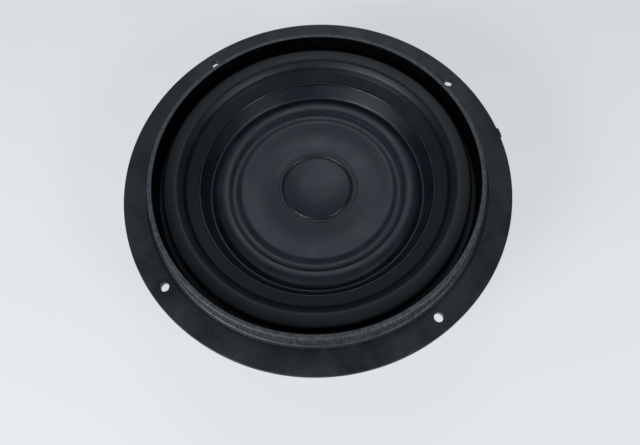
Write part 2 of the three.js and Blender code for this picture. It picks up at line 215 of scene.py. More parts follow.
def tube(bm, route, radius, sides=8):
    """Sweeps a round section along a route in millimetres, with both ends closed."""
    route = [Vector(point) * MM for point in route]
    way = (route[1] - route[0]).normalized()
    start = Matrix.Translation(route[0]) @ way.to_track_quat("Z", "Y").to_matrix().to_4x4()
    made = bmesh.ops.create_circle(bm, segments=sides, radius=radius * MM, cap_ends=True, matrix=start)
    edges = list({edge for vert in made["verts"] for edge in vert.link_edges})
    for i in range(1, len(route)):
        grown = bmesh.ops.extrude_edge_only(bm, edges=edges)["geom"]
        edges = open_edges_of(grown)
        next_way = (route[min(i + 1, len(route) - 1)] - route[i - 1]).normalized()
        bend = way.rotation_difference(next_way).to_matrix().to_4x4()
        move = Matrix.Translation(route[i]) @ bend @ Matrix.Translation(-route[i - 1])
        bmesh.ops.transform(bm, matrix=move, verts=verts_of(grown))
        way = next_way
    bmesh.ops.contextual_create(bm, geom=edges)


def curved_strip(inner, outer, bottom, top, half_angle, softening):
    """A short curved strip about Z, centred on +X, in millimetres."""
    bm = bmesh.new()
    corners = ((inner, bottom), (outer, bottom), (outer, top), (inner, top))
    face = bm.faces.new([bm.verts.new((radius * MM, 0, height * MM)) for radius, height in corners])
    bmesh.ops.rotate(bm, verts=face.verts, matrix=Matrix.Rotation(-half_angle, 3, "Z"))
    whole = [face, *face.edges, *face.verts]
    bmesh.ops.spin(bm, geom=whole, axis=(0, 0, 1), angle=2 * half_angle, steps=8, use_merge=False)
    bmesh.ops.recalc_face_normals(bm, faces=bm.faces)
    soften(bm, bm.edges[:], softening, sharper_than=60)
    return bm


def moved(bm, matrix):
    """The whole mesh put in its place."""
    bmesh.ops.transform(bm, matrix=matrix, verts=bm.verts)
    return bm


def place(x=0.0, y=0.0, z=0.0):
    """A shift in millimetres."""
    return Matrix.Translation(Vector((x, y, z)) * MM)


def finished(name, bm, finish, sharp=40):
    """The mesh as an object at the origin, smooth but for its sharp edges."""
    mesh = bpy.data.meshes.new(name)
    bm.to_mesh(mesh)
    bm.free()
    mesh.shade_smooth()
    mesh.set_sharp_from_angle(angle=radians(sharp))
    mesh.materials.append(finish)
    made = bpy.data.objects.new(name, mesh)
    SCENE.collection.objects.link(made)
    return made


def rides(made, body, slot, *nodes):
    """Rides the piece on its body, in place of the CAD nodes that it stands for."""
    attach(made, body)
    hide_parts(*nodes)


# ------------------------------------------------------------------ material tools

MIX_COLOURS = (6, 7)  # where a Mix node keeps its two colour inputs
MIX_RESULT = 2  # and its colour output


def linear(hex_colour):
    """An sRGB hex colour as Blender's linear colour."""
    parts = [int(hex_colour[i : i + 2], 16) / 255 for i in (1, 3, 5)]
    return (*[c / 12.92 if c <= 0.04045 else ((c + 0.055) / 1.055) ** 2.4 for c in parts], 1.0)


def per(millimetres):
    """The scale of a pattern on Object coordinates whose features are this far apart."""
    return 1 / (millimetres * MM)


def add(tree, kind, inputs, **settings):
    """Adds a shader node with its settings, and sets or links its inputs."""
    made = tree.nodes.new("ShaderNode" + kind)
    for name, value in settings.items():
        setattr(made, name, value)
    for socket, value in inputs.items():
        if isinstance(value, bpy.types.NodeSocket):
            tree.links.new(value, made.inputs[socket])
        else:
            made.inputs[socket].default_value = value
    return made


def finish_of(name, **constants):
    """A new material with its shader's plain values set. Returns the material, its tree and its shader."""
    made = bpy.data.materials.new(name)
    made.use_nodes = True
    shader = made.node_tree.nodes["Principled BSDF"]
    for socket, value in constants.items():
        shader.inputs[socket.replace("_", " ")].default_value = value
    return made, made.node_tree, shader


def link(tree, source, shader, socket):
    """Feeds one of the shader's sockets."""
    tree.links.new(source, shader.inputs[socket])


def object_noise(tree, feature, detail=2.0, roughness=0.5, stretch=(1, 1, 1)):
    """Noise on Object coordinates with features of a size in millimetres, squeezed by stretch."""
    coordinates = add(tree, "TexCoord", {}).outputs["Object"]
    mapping = add(tree, "Mapping", {"Vector": coordinates, "Scale": stretch})
    settings = {"Scale": per(feature), "Detail": detail, "Roughness": roughness}
    return add(tree, "TexNoise", {"Vector": mapping.outputs["Vector"], **settings}).outputs["Fac"]


def threads(tree, spacing, axis, turn=0.0):
    """Ridges on Object coordinates this many millimetres apart."""
    coordinates = add(tree, "TexCoord", {}).outputs["Object"]
    mapping = add(tree, "Mapping", {"Vector": coordinates, "Rotation": (0, 0, turn)})
    scale = per(spacing) * pi / 10  # a Wave texture's bands lie pi/10 apart at scale 1
    inputs = {"Vector": mapping.outputs["Vector"], "Scale": scale, "Distortion": 0.3}
    return add(tree, "TexWave", inputs, bands_direction=axis).outputs["Fac"]


def spread(tree, source, low, high, from_low=0.3, from_high=0.7):
    """A pattern's middle values spread between two numbers."""
    limits = {"From Min": from_low, "From Max": from_high, "To Min": low, "To Max": high}
    return add(tree, "MapRange", {"Value": source, **limits}).outputs["Result"]


def maths(tree, operation, first, second=0.0):
    """One sum on two numbers or patterns."""
    return add(tree, "Math", {0: first, 1: second}, operation=operation).outputs[0]


def between(tree, share, first, second):
    """Two colours mixed by a pattern. Each is a hex colour or another mix."""
    colours = [linear(colour) if isinstance(colour, str) else colour for colour in (first, second)]
    inputs = {"Factor": share, **dict(zip(MIX_COLOURS, colours))}
    return add(tree, "Mix", inputs, data_type="RGBA").outputs[MIX_RESULT]


def bumped(tree, shader, *layers):
    """Stacks bumps, each (pattern, depth in millimetres), and gives the last to the shader."""
    below = {}
    for pattern, depth in layers:
        bump = add(tree, "Bump", {"Height": pattern, "Distance": depth * MM, "Strength": 1.0, **below})
        below = {"Normal": bump.outputs["Normal"]}
    link(tree, below["Normal"], shader, "Normal")


def distance_from_axis(tree):
    """Distance from the woofer's axis in millimetres."""
    coordinates = add(tree, "TexCoord", {}).outputs["Object"]
    flat = add(tree, "VectorMath", {0: coordinates, 1: (1, 1, 0)}, operation="MULTIPLY").outputs["Vector"]
    length = add(tree, "VectorMath", {0: flat}, operation="LENGTH").outputs["Value"]
    return maths(tree, "MULTIPLY", length, 1 / MM)


def painted_light_on_collar(tree):
    """Where a highlight is painted on the collar: 1 on its top and outer face, fading over 0.3 mm, and 0
    elsewhere.
    """
    coordinates = add(tree, "TexCoord", {}).outputs["Object"]
    height = add(tree, "SeparateXYZ", {"Vector": coordinates}).outputs["Z"]
    distance = distance_from_axis(tree)
    above_flange = spread(tree, height, 0, 1, FLANGE_FRONT * MM, (FLANGE_FRONT + 0.3) * MM)
    outside_bore = spread(tree, distance, 0, 1, COLLAR_BORE + 0.25, COLLAR_BORE + 0.55)
    on_collar = spread(tree, distance, 1, 0, COLLAR_BORE + 4.65, COLLAR_BORE + 4.95)
    return maths(tree, "MULTIPLY", above_flange, maths(tree, "MULTIPLY", outside_bore, on_collar))


# ------------------------------------------------------------------ finishes


def glass_filled_moulding():
    """Glass-filled polypropylene, moulded: charcoal with cloudy flow marks and a dry grain.

    The collar's top and outer face are painted a pale, chalk-like streaked grey: partly scuffs and partly
    painted highlight. Everything inside its bore is painted nearly black as shade.
    """
    made, tree, shader = finish_of("moulded_glass_filled_plastic", IOR=1.49)
    cloud = object_noise(tree, 22, detail=4, roughness=0.6)
    drag = object_noise(tree, 9, detail=4, roughness=0.6)
    grain = object_noise(tree, 0.5)
    base = between(tree, spread(tree, cloud, 0, 1, 0.38, 0.62), "#07090b", "#1c2024")
    streaks = spread(tree, object_noise(tree, 1.6, detail=3, stretch=(1, 1, 0.15)), 0, 1)
    # Painted highlight: a lighter streaked grey on the collar's top and outer face, as if lit, with streaks
    # like scuffs
    scuffs_and_painted_highlight = between(tree, streaks, "#232629", "#46494b")
    # Painted shade: inside the collar's bore the colour is painted nearly black and its specular level
    # turned down, standing in for the shadow in the recess
    outside = spread(tree, distance_from_axis(tree), 0, 1, COLLAR_BORE + 0.15, COLLAR_BORE + 0.75)
    base_and_painted_collar_highlight = between(tree, painted_light_on_collar(tree), base, scuffs_and_painted_highlight)
    link(tree, between(tree, outside, "#020203", base_and_painted_collar_highlight), shader, "Base Color")
    link(tree, spread(tree, drag, 0.38, 0.58), shader, "Roughness")
    link(tree, spread(tree, outside, 0.1, 0.5), shader, "Specular IOR Level")
    bumped(tree, shader, (drag, 0.08), (grain, 0.02))
    return made


def nitrile_rubber():
    """Nitrile rubber, pressure moulded: soft greenish black with a faint bloom."""
    made, tree, shader = finish_of("moulded_nitrile_rubber", IOR=1.5, Specular_IOR_Level=0.36)
    bloom = object_noise(tree, 12, detail=3)
    link(tree, between(tree, spread(tree, bloom, 0, 1), "#06090b", "#0a0e10"), shader, "Base Color")
    link(tree, spread(tree, bloom, 0.4, 0.47), shader, "Roughness")
    bumped(tree, shader, (object_noise(tree, 0.4), 0.01))
    return made


def mica_polypropylene():
    """Mica-filled polypropylene, injection moulded: blue-black with a satin skin."""
    made, tree, shader = finish_of("moulded_mica_polypropylene", IOR=1.49)
    flow = object_noise(tree, 14, detail=3)
    link(tree, between(tree, spread(tree, flow, 0, 1), "#060b13", "#0a111b"), shader, "Base Color")
    link(tree, spread(tree, flow, 0.36, 0.44), shader, "Roughness")
    bumped(tree, shader, (object_noise(tree, 0.35), 0.005))
    return made


def rubber_adhesive():
    """Rubber contact adhesive, laid as a bead: wet-looking black."""
    made, tree, shader = finish_of("cured_rubber_adhesive", IOR=1.5, Roughness=0.22, Specular_IOR_Level=0.4)
    link(tree, between(tree, object_noise(tree, 4), "#080a0d", "#0f1216"), shader, "Base Color")
    bumped(tree, shader, (object_noise(tree, 6), 0.02))
    return made


def closed_cell_foam():
    """Closed-cell rubber foam, cut from sheet: matt black with tiny cells."""
    made, tree, shader = finish_of("closed_cell_foam", IOR=1.4, Roughness=0.95)
    coordinates = add(tree, "TexCoord", {}).outputs["Object"]
    cells = add(tree, "TexVoronoi", {"Vector": coordinates, "Scale": per(0.9)}).outputs["Distance"]
    link(tree, between(tree, cells, "#0c0c0d", "#26272a"), shader, "Base Color")
    bumped(tree, shader, (cells, 0.15))
    return made


def treated_cloth():
    """Phenolic-treated cotton, woven and hot pressed: golden tan, its threads 1 mm apart so they show."""
    made, tree, shader = finish_of("resin_treated_cotton", IOR=1.45, Roughness=0.8)
    weave = maths(tree, "MULTIPLY", threads(tree, 1.0, "X"), threads(tree, 1.0, "Y"))
    link(tree, between(tree, weave, "#5e4317", "#bd9549"), shader, "Base Color")
    bumped(tree, shader, (weave, 0.15))
    return made


def glass_laminate():
    """Glass-fibre laminate, rolled: amber brown with a resin gloss."""
    made, tree, shader = finish_of("glass_fibre_laminate", IOR=1.55, Roughness=0.3)
    strands = object_noise(tree, 2, detail=4, stretch=(1, 1, 6))
    link(tree, between(tree, strands, "#5a3d17", "#93692f"), shader, "Base Color")
    bumped(tree, shader, (strands, 0.02))
    return made


def enamelled_copper():
    """Enamelled copper wire, wound: red brown metal under varnish."""
    varnish = {"Coat_Weight": 0.6, "Coat_Roughness": 0.15}
    made, tree, shader = finish_of("enamelled_copper_wire", Metallic=1.0, **varnish)
    link(tree, between(tree, object_noise(tree, 3), "#7c3a1c", "#b4642f"), shader, "Base Color")
    link(tree, spread(tree, object_noise(tree, 1.5), 0.25, 0.4), shader, "Roughness")
    return made


def sintered_ferrite():
    """Sintered strontium ferrite, ground: dark grey ceramic with grinding streaks and small pits."""
    made, tree, shader = finish_of("sintered_ferrite", IOR=2.1)
    grit = object_noise(tree, 0.8, detail=4)
    streaks = object_noise(tree, 3, detail=3, stretch=(1, 1, 14))
    link(tree, between(tree, spread(tree, grit, 0, 1), "#26272a", "#3b3d41"), shader, "Base Color")
    link(tree, spread(tree, streaks, 0.45, 0.68), shader, "Roughness")
    bumped(tree, shader, (grit, 0.03), (streaks, 0.02))
    return made


def electrocoated_steel():
    """Black electrocoat on pressed steel: thin even satin film with slight orange peel."""
    made, tree, shader = finish_of("black_electrocoat", IOR=1.5, Coat_Weight=0.3, Coat_Roughness=0.3)
    peel = object_noise(tree, 1.2)
    link(tree, between(tree, object_noise(tree, 20, detail=3), "#0e0f10", "#1a1b1d"), shader, "Base Color")
    link(tree, spread(tree, peel, 0.3, 0.42), shader, "Roughness")
    bumped(tree, shader, (peel, 0.01))
    return made


def bright_metal(name, dark, light, feature, stretch=(1, 1, 1)):
    """A plain metal surface, clouded or streaked by handling or rolling."""
    made, tree, shader = finish_of(name, Metallic=1.0)
    cloud = object_noise(tree, feature, detail=3, stretch=stretch)
    link(tree, between(tree, cloud, dark, light), shader, "Base Color")
    link(tree, spread(tree, cloud, 0.2, 0.42), shader, "Roughness")
    return made


def tinsel_braid():
    """Copper tinsel twisted over a cotton core: dull bronze with fine cross winding at 0.6 mm."""
    made, tree, shader = finish_of("tinsel_braid", Metallic=0.8, Roughness=0.42)
    winding = maths(tree, "MAXIMUM", threads(tree, 0.6, "DIAGONAL"), threads(tree, 0.6, "DIAGONAL", pi / 2))
    link(tree, between(tree, winding, "#5c4120", "#b3946a"), shader, "Base Color")
    bumped(tree, shader, (winding, 0.06))
    return made


def fibre_board():
    """Vulcanised fibre board, pressed: dull black with short fibres."""
    made, tree, shader = finish_of("pressed_fibre_board", IOR=1.5, Roughness=0.7)
    fibres = object_noise(tree, 0.9, detail=4, roughness=0.7)
    link(tree, between(tree, fibres, "#121213", "#242425"), shader, "Base Color")
    bumped(tree, shader, (fibres, 0.04))
    return made


MOULDING = glass_filled_moulding()
RUBBER = nitrile_rubber()
CONE_PLASTIC = mica_polypropylene()
ADHESIVE = rubber_adhesive()
FOAM = closed_cell_foam()
CLOTH = treated_cloth()
LAMINATE = glass_laminate()
COPPER = enamelled_copper()
FERRITE = sintered_ferrite()
BLACK_STEEL = electrocoated_steel()
ZINC = bright_metal("zinc_plated_steel", "#8f959c", "#c9ccd1", 2.5)  # bluish silver, clouded by handling
TINNED = bright_metal("tinned_brass", "#a39c86", "#d6d0bd", 1.2, (6, 1, 1))  # warm silver, rolling lines
SOLDER = bright_metal("flowed_tin_solder", "#9da0a2", "#d9dadb", 0.8)  # bright, frosted where it froze last
TINSEL = tinsel_braid()
BOARD = fibre_board()

# ------------------------------------------------------------------ basket

REBATE = 98.3  # the gasket lies in a shallow rebate inside this radius
LEG_INSIDE = ((59.3, SHELF), (86, -11))  # a leg's two faces, as (radius, height) at both ends
LEG_OUTSIDE = ((60.5, -30.5), (89.5, -13))
WINDOW = {"inner": 61.8, "outer": 84.6, "half_angle": radians(28), "corner": 5.0}
WINDOW_ROWS = (60.6, 62, 63.4, 65, 67, 79.4, 81, 82.6, 84.2, 85.8)
MOTOR_SEAT = (-33.9, -37.1)
SCREW_HOLE_ROWS = (98.6, 99.6, 101.4, 103.2, 104.2)  # rows of faces that a hole is opened through
MOTOR_HOLE_ROWS = (39.4, 40.7, 42, 43.3, 44.6)
SCREW_HOLE = {"radius": 2.5, "half_angle": radians(2.01)}
MOTOR_HOLE = {"radius": 2.05, "half_angle": radians(4.01)}
LEVEL = 0.01  # faces this near to a height in millimetres are at it
NUB = {"azimuth": radians(21.5), "half_angle": radians(1.6), "proud": 0.95}


def on_leg(line, radius):
    """Height of a leg's face at a radius."""
    (start, low), (end, high) = line
    return low + (high - low) * (radius - start) / (end - start)


def basket_corners():
    """The moulding's section, anticlockwise from the flange's lower edge."""
    rebate_top = FLANGE_REAR + 0.5
    seat_front, seat_rear = MOTOR_SEAT
    return [
        (FLANGE_RADIUS, FLANGE_REAR, 0.5),
        (FLANGE_RADIUS, 0, 0.6),
        *[(radius, 0, 0) for radius in reversed(SCREW_HOLE_ROWS)],
        (96.1, 0, 0.1),
        (95.8, -0.35, 0.1),
        (95.4, -0.35, 0.1),
        (95.1, 0, 0),
        (93.5, 0.15, 1.6),
        (92.5, COLLAR_TOP, 1.0),
        (COLLAR_BORE, COLLAR_TOP, 0.5),
        (COLLAR_BORE, -3.6, 0.3),
        (83, -3.6, 0.4),
        (83, -5.6, 0.4),
        (86.8, -7, 0.5),
        (86, -11, 0),
        *[(radius, on_leg(LEG_INSIDE, radius), 0) for radius in reversed(WINDOW_ROWS)],
        (59.3, SHELF, 0.4),
        (50.8, SHELF, 0.4),
        (50.8, seat_front, 0.5),
        *[(radius, seat_front, 0) for radius in reversed(MOTOR_HOLE_ROWS)],
        (32, seat_front, 0.5),
        (32, seat_rear, 0.5),
        *[(radius, seat_rear, 0) for radius in MOTOR_HOLE_ROWS],
        (55, seat_rear, 0.8),
        (55, -31.5, 0.4),
        (59.8, -30.6, 0.3),
        *[(radius, on_leg(LEG_OUTSIDE, radius), 0) for radius in WINDOW_ROWS],
        (89.5, -13, 1.0),
        (91, rebate_top, 0.4),
        (REBATE, rebate_top, 0),
        (REBATE, FLANGE_REAR, 0),
        *[(radius, FLANGE_REAR, 0) for radius in SCREW_HOLE_ROWS],
    ]


def radius_and_height(point):
    """A point's radius and its height from the flange's front, in millimetres."""
    return hypot(point.x, point.y) / MM, point.z / MM - FLANGE_FRONT


def azimuth_from(point, centre):
    """Angle round Z from a centre line to a point, from -pi to pi."""
    return (atan2(point.y, point.x) - centre + pi) % (2 * pi) - pi


def patch(bm, centre, half_angle, rows, is_at):
    """Faces about an azimuth and between the first and last row whose (radius, height) pass a test."""
    found = set()
    for face in bm.faces:
        middle = face.calc_center_median()
        radius, height = radius_and_height(middle)
        within = rows[0] < radius < rows[-1] and abs(azimuth_from(middle, centre)) < half_angle
        if within and is_at(radius, height):
            found.add(face)
    return found


def cleared(bm, faces):
    """Takes the faces out and returns the edges left open round them."""
    rim = [edge for face in faces for edge in face.edges if not faces.issuperset(edge.link_faces)]
    bmesh.ops.delete(bm, geom=list(faces), context="FACES")
    return rim


def bored(bm, azimuth, rows, top, bottom, radius, half_angle):
    """Opens a round hole with softened mouths through two flat faces."""
    reach = (rows[0] + rows[-1]) / 2
    centre = place(reach * cos(azimuth), reach * sin(azimuth), FLANGE_FRONT)
    softening = 0.2

    def is_top(_, height):
        return abs(height - top) < LEVEL

    def is_bottom(_, height):
        return abs(height - bottom) < LEVEL

    levels = [(radius + softening, top), (radius, top - softening), (radius, bottom + softening)]
    loops = [cleared(bm, patch(bm, azimuth, half_angle, rows, is_top))]
    for ring, height in [*levels, (radius + softening, bottom)]:
        matrix = centre @ place(0, 0, height) @ Matrix.Rotation(azimuth, 4, "Z")
        made = bmesh.ops.create_circle(bm, segments=TINY_RING_STEPS, radius=ring * MM, matrix=matrix)
        loops.append(list({edge for vert in made["verts"] for edge in vert.link_edges}))
    loops.append(cleared(bm, patch(bm, azimuth, half_angle, rows, is_bottom)))
    for upper, lower in zip(loops, loops[1:]):
        bmesh.ops.bridge_loops(bm, edges=upper + lower)


def on_window_edge(azimuth, radius):
    """Brings a point just outside a window to the nearest point of its round-cornered edge."""
    corner = WINDOW["corner"]
    core_radius = min(max(radius, WINDOW["inner"] + corner), WINDOW["outer"] - corner)
    along = azimuth * core_radius
    limit = WINDOW["half_angle"] * core_radius - corner
    core_along = min(max(along, -limit), limit)
    away = Vector((along - core_along, radius - core_radius)).normalized() * corner
    return (core_along + away.x) / core_radius, core_radius + away.y


def opened_window(bm, centre):
    """Opens one window between two legs and returns the edges round it."""
    half_angle = WINDOW["half_angle"] + radians(1)
    rims = []
    for line in (LEG_INSIDE, LEG_OUTSIDE):

        def is_on_face(radius, height, face=line):
            return abs(height - on_leg(face, radius)) < 0.3

        rim = cleared(bm, patch(bm, centre, half_angle, WINDOW_ROWS, is_on_face))
        grown = bmesh.ops.extrude_edge_only(bm, edges=rim)["geom"]
        for vert in verts_of(grown):
            distance = hypot(vert.co.x, vert.co.y) / MM
            azimuth, radius = on_window_edge(azimuth_from(vert.co, centre), distance)
            turn = centre + azimuth
            height = FLANGE_FRONT + on_leg(line, radius)
            vert.co = Vector((radius * cos(turn), radius * sin(turn), height)) * MM
        rims += open_edges_of(grown)
    bmesh.ops.bridge_loops(bm, edges=rims)
    return rims


def gate_nub(bm):
    """The stub left on the flange's edge where the moulding was fed."""

    def is_rim(radius, height):
        return radius > FLANGE_RADIUS - 0.1 and FLANGE_REAR + 0.3 < height < -0.3

    rows = (FLANGE_RADIUS - 1, FLANGE_RADIUS + 1)
    faces = patch(bm, NUB["azimuth"], NUB["half_angle"], rows, is_rim)
    grown = bmesh.ops.extrude_face_region(bm, geom=list(faces))["geom"]
    out = Vector((cos(NUB["azimuth"]), sin(NUB["azimuth"]), 0)) * NUB["proud"] * MM
    bmesh.ops.translate(bm, verts=verts_of(grown), vec=out)


def basket():
    """One moulding: flange, collar, wall, legs, the spider's shelf and the motor's seat."""
    bm = spun(rounded(basket_corners()), base=FLANGE_FRONT)
    rims = []
    for quarter in (0, 1, 2, 3):
        azimuth = quarter * pi / 2
        rims += opened_window(bm, azimuth)
        bored(bm, azimuth + pi / 4, SCREW_HOLE_ROWS, 0, FLANGE_REAR, **SCREW_HOLE)
        bored(bm, azimuth, MOTOR_HOLE_ROWS, *MOTOR_SEAT, **MOTOR_HOLE)
    gate_nub(bm)
    bmesh.ops.recalc_face_normals(bm, faces=bm.faces)
    soften(bm, rims, 0.5)
    rides(finished("basket_moulding", bm, MOULDING), "frame", "basket_plastic", "basket")


def gasket():
    """A flat ring of foam behind the flange."""
    low, high = size_mm("flange_gasket")
    bm = spun(rounded(ring_corners(low, high, 91.6, 0.4)))
    rides(finished("foam_gasket", bm, FOAM), "frame", "gasket_foam", "flange_gasket")


# ------------------------------------------------------------------ surround and spider


def flexes(made, node, still, moving):
    """Bakes a ring of sheet in place and hides its CAD node. Its share from the frame at one radius to the
    cone at another, in millimetres, is worked out for each vertex but not used.
    """
    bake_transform(made)
    for vertex in made.data.vertices:
        share = (still - hypot(vertex.co.x, vertex.co.y) / MM) / (still - moving)
        share = min(max(share, 0), 1)
    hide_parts(node)


SURROUND_CORNERS = [
    (67.5, -4.2, 0),
    (73.6, -1.2, 0.4),
    (75.0, 1.4, 2.2),
    (78.2, 4.0, 4),
    (86.2, 4.1, 1.6),
    (86.3, -2.5, 0.5),
    (89.4, -2.5, 0),
]


def surround():
    """Rubber: a glue flange on the cone, a ramp up to a wide flat-topped roll, and a foot on the basket."""
    bm = thickened(spun(rounded(SURROUND_CORNERS, closed=False), FLANGE_FRONT, closed=False), SHEET)
    made = finished("rubber_surround", bm, RUBBER)
    flexes(made, "surround", still=85.5, moving=74)


def spider():
    """Corrugated cloth: a run of even waves, then a flat rim glued to its shelf."""
    low, high = size_mm("spider")
    inner, bend, outer = 20.05, 50.5, high.x
    waves, steps, depth = 5, 70, 1.1
    outline = []
    for k in range(steps + 1):
        share = k / steps
        outline.append(Vector((inner + (bend - inner) * share, 0, depth * sin(2 * pi * waves * share))))
    outline += [Vector((bend + 0.8, 0, -0.3)), Vector((outer, 0, -0.3))]
    bm = thickened(spun(outline, (low.z + high.z) / 2, closed=False, steps=180), 0.5)
    made = finished("spider_cloth", bm, CLOTH)
    flexes(made, "spider", still=bend, moving=inner)


# ------------------------------------------------------------------ cone

DIAPHRAGM_CORNERS = [
    (20.4, -17, 0),
    (20.4, -12.95, 1.1),
    (22, -12.85, 3),
    (34, -13.15, 60),
    (44.6, -11.6, 6),
    (48.3, -13.0, 6),
    (54.8, -8.1, 11),  # more than its flanks have room for, so the sheet folds here
    (62.1, -14.1, 1.2),
    (67, -5.8, 0.6),
    (73.5, -2.45, 0),
]
CAP_CORNERS = [
    (0, -14.6, 0),
    (20.05, -14.6, 0.1),
    (20.05, -12.85, 1.1),
    (10, -12.15, 30),
    (0, -11.9, 0),
]


def diaphragm():
    """The moulded cone: neck, flat dish, inner valley, crest, outer valley and glue lip."""
    bm = thickened(spun(rounded(DIAPHRAGM_CORNERS, closed=False), FLANGE_FRONT, closed=False), SHEET)
    made = finished("cone_diaphragm", bm, CONE_PLASTIC)
    rides(made, "cone_assembly", "cone_polypropylene", "diaphragm")


def dust_cap():
    """A shallow crowned disc with a rounded rim."""
    bm = spun(rounded(CAP_CORNERS, closed=False), FLANGE_FRONT, closed=False)
    rides(finished("centre_cap", bm, CONE_PLASTIC), "cone_assembly", "cone_polypropylene", "dust_cap")


def cap_ridge():
    """The ring of adhesive under the cap's rim, laid a little off centre, where it shows as a low ridge."""
    bm = spun(bead_section(22.3, -12.87, 1.8, 0.34), FLANGE_FRONT)
    made = finished("cap_adhesive_ridge", moved(bm, place(0.8, 0.9)), CONE_PLASTIC)
    rides(made, "cone_assembly", "cone_polypropylene")


def cap_groove():
    """The adhesive that fills the slit round the cap, low enough to leave a shallow groove."""
    bm = spun(bead_section(20.25, -13.7, 0.8, 1.0), FLANGE_FRONT)
    rides(finished("cap_groove_adhesive", bm, CONE_PLASTIC), "cone_assembly", "cone_polypropylene")


def edge_bead():
    """The line of adhesive that seals the surround's inner edge to the cone."""
    bm = spun(bead_section(67.1, -5.05, 1.5, 1.25), FLANGE_FRONT)
    rides(finished("surround_adhesive_bead", bm, ADHESIVE), "cone_assembly", "surround_rubber")


def coil_former():
    """The thin tube that carries the coil."""
    low, high = size_mm("coil_former")
    bm = spun(rounded(ring_corners(low, high, 19.45, 0.05)), steps=SMALL_RING_STEPS)
    rides(finished("former_tube", bm, LAMINATE), "cone_assembly", "coil_former_laminate", "coil_former")


def voice_coil():
    """Round wire, wound tight: one ridge a turn."""
    low, high = size_mm("voice_coil")
    turns = 36
    wire = (high.z - low.z) / turns / 2
    outline = [Vector((19.85, 0, high.z)), Vector((19.85, 0, low.z))]
    for turn in range(turns):
        centre = Vector((high.x - wire, 0, low.z + wire * (2 * turn + 1)))
        for angle in (radians(-60), radians(-20), radians(20), radians(60)):
            outline.append(centre + wire * Vector((cos(angle), 0, sin(angle))))
    bm = spun(outline, steps=SMALL_RING_STEPS)
    rides(finished("coil_winding", bm, COPPER, sharp=80), "cone_assembly", "coil_copper", "voice_coil")


# ------------------------------------------------------------------ magnet system


def magnet_system():
    """The ferrite ring, its two glue lines and the plate on its front."""
    magnet_bore, plate_bore, glue_radius = 30, 21, 47.3
    low, high = size_mm("magnet")
    ring = spun(rounded(ring_corners(low, high, magnet_bore, 1)))
    rides(finished("ferrite_ring", ring, FERRITE), "frame", "ferrite", "magnet")
    for name, seam in (("rear", low.z - 0.15), ("front", high.z + 0.15)):
        bead = spun(bead_section(glue_radius, seam, 1.0, 0.6))
        rides(finished("magnet_glue_" + name, bead, ADHESIVE), "frame", "coated_steel")

    low, high = size_mm("top_plate")
    ring = spun(rounded(ring_corners(low, high, plate_bore, 0.8)))
    rides(finished("front_plate", ring, BLACK_STEEL), "frame", "coated_steel", "top_plate")


def back_plate():
    """The rear plate and its vented pole, one forging, with a turned groove underneath."""
    low, high = size_mm("back_plate_and_pole")
    radius, thickness, pole, vent = high.x, 6, 19.1, 8
    corners = [
        (radius, low.z, 1.4),
        (radius, thickness, 1.2),
        (pole, thickness, 0.5),
        (pole, high.z, 0.8),
        (vent, high.z, 0.8),
        (vent, low.z, 1.2),
        (26, low.z, 0),
        (26.6, 0.5, 0.2),
        (28.4, 0.5, 0.2),
        (29, low.z, 0),
    ]
    made = finished("back_plate", spun(rounded(corners)), BLACK_STEEL)
    rides(made, "frame", "coated_steel", "back_plate_and_pole")


def vent_screen():
    """Woven wire over the pole's vent: wires 1.1 mm apart, each over and under the next."""
    low, high = size_mm("vent_screen")
    middle = (low.z + high.z) / 2
    reach, spacing, wire = high.x - 0.3, 1.1, 0.15
    bm = bmesh.new()
    for row in range(-6, 7):
        across = row * spacing
        length = sqrt(reach**2 - across**2)
        steps = 4 * round(2 * length / spacing)
        for turn in (0, 1):
            route = []
            for k in range(steps + 1):
                along = -length + 2 * length * k / steps
                lift = wire * cos(pi * (along / spacing + row + turn))
                route.append(Matrix.Rotation(turn * pi / 2, 3, "Z") @ Vector((along, across, middle + lift)))
            tube(bm, route, wire, sides=6)
    rides(finished("woven_vent_screen", bm, ZINC), "frame", "zinc_steel", "vent_screen")
    rim = spun(rounded(ring_corners(low, high, high.x - 0.5, 0.1)), steps=SMALL_RING_STEPS)
    rides(finished("vent_screen_rim", rim, ZINC), "frame", "zinc_steel")


# ------------------------------------------------------------------ screws


def cross_loop(reach, half_width):
    """The outline of a cross recess, as a loop of (x, y) points."""
    loop = []
    for quarter in range(4):
        turn = Matrix.Rotation(quarter * pi / 2, 2)
        for corner in ((reach, -half_width), (reach, half_width), (half_width, half_width)):
            loop.append(tuple(turn @ Vector(corner)))
    return loop


def screw(name, node, shank, head, head_height, length, matrix):
    """A pan-headed screw with a cross recess. Its head's underside is at height 0 before it is placed."""
    mouth = head * 0.62
    corners = [
        (0, -length, 0),
        (shank * 0.6, -length, 0),
        (shank, shank - length, 0.2),
        (shank, 0, 0),
        (head, 0, 0.15),
        (head, head_height * 0.5, 0.3),
        (head * 0.85, head_height * 0.88, 0.7),
        (mouth, head_height, 0),
    ]
    bm = spun(rounded(corners, closed=False), closed=False, steps=TINY_RING_STEPS)
    top = open_edges_of(bm.edges)
    loop = cross_loop(mouth * 0.8, head * 0.2)
    verts = [bm.verts.new((x * MM, y * MM, head_height * MM)) for x, y in loop]
    recess = [bm.edges.new(pair) for pair in zip(verts, verts[1:] + verts[:1])]
    bmesh.ops.triangle_fill(bm, use_beauty=True, edges=top + recess)
    grown = bmesh.ops.extrude_edge_only(bm, edges=recess)["geom"]
    sunk = place(0, 0, -0.6 * head_height) @ Matrix.Diagonal((0.6, 0.6, 1, 1))
    bmesh.ops.transform(bm, matrix=sunk, verts=verts_of(grown))
    bmesh.ops.contextual_create(bm, geom=open_edges_of(grown))
    bmesh.ops.recalc_face_normals(bm, faces=bm.faces)
    rides(finished(name, moved(bm, matrix), ZINC, sharp=30), "frame", "zinc_steel", node)


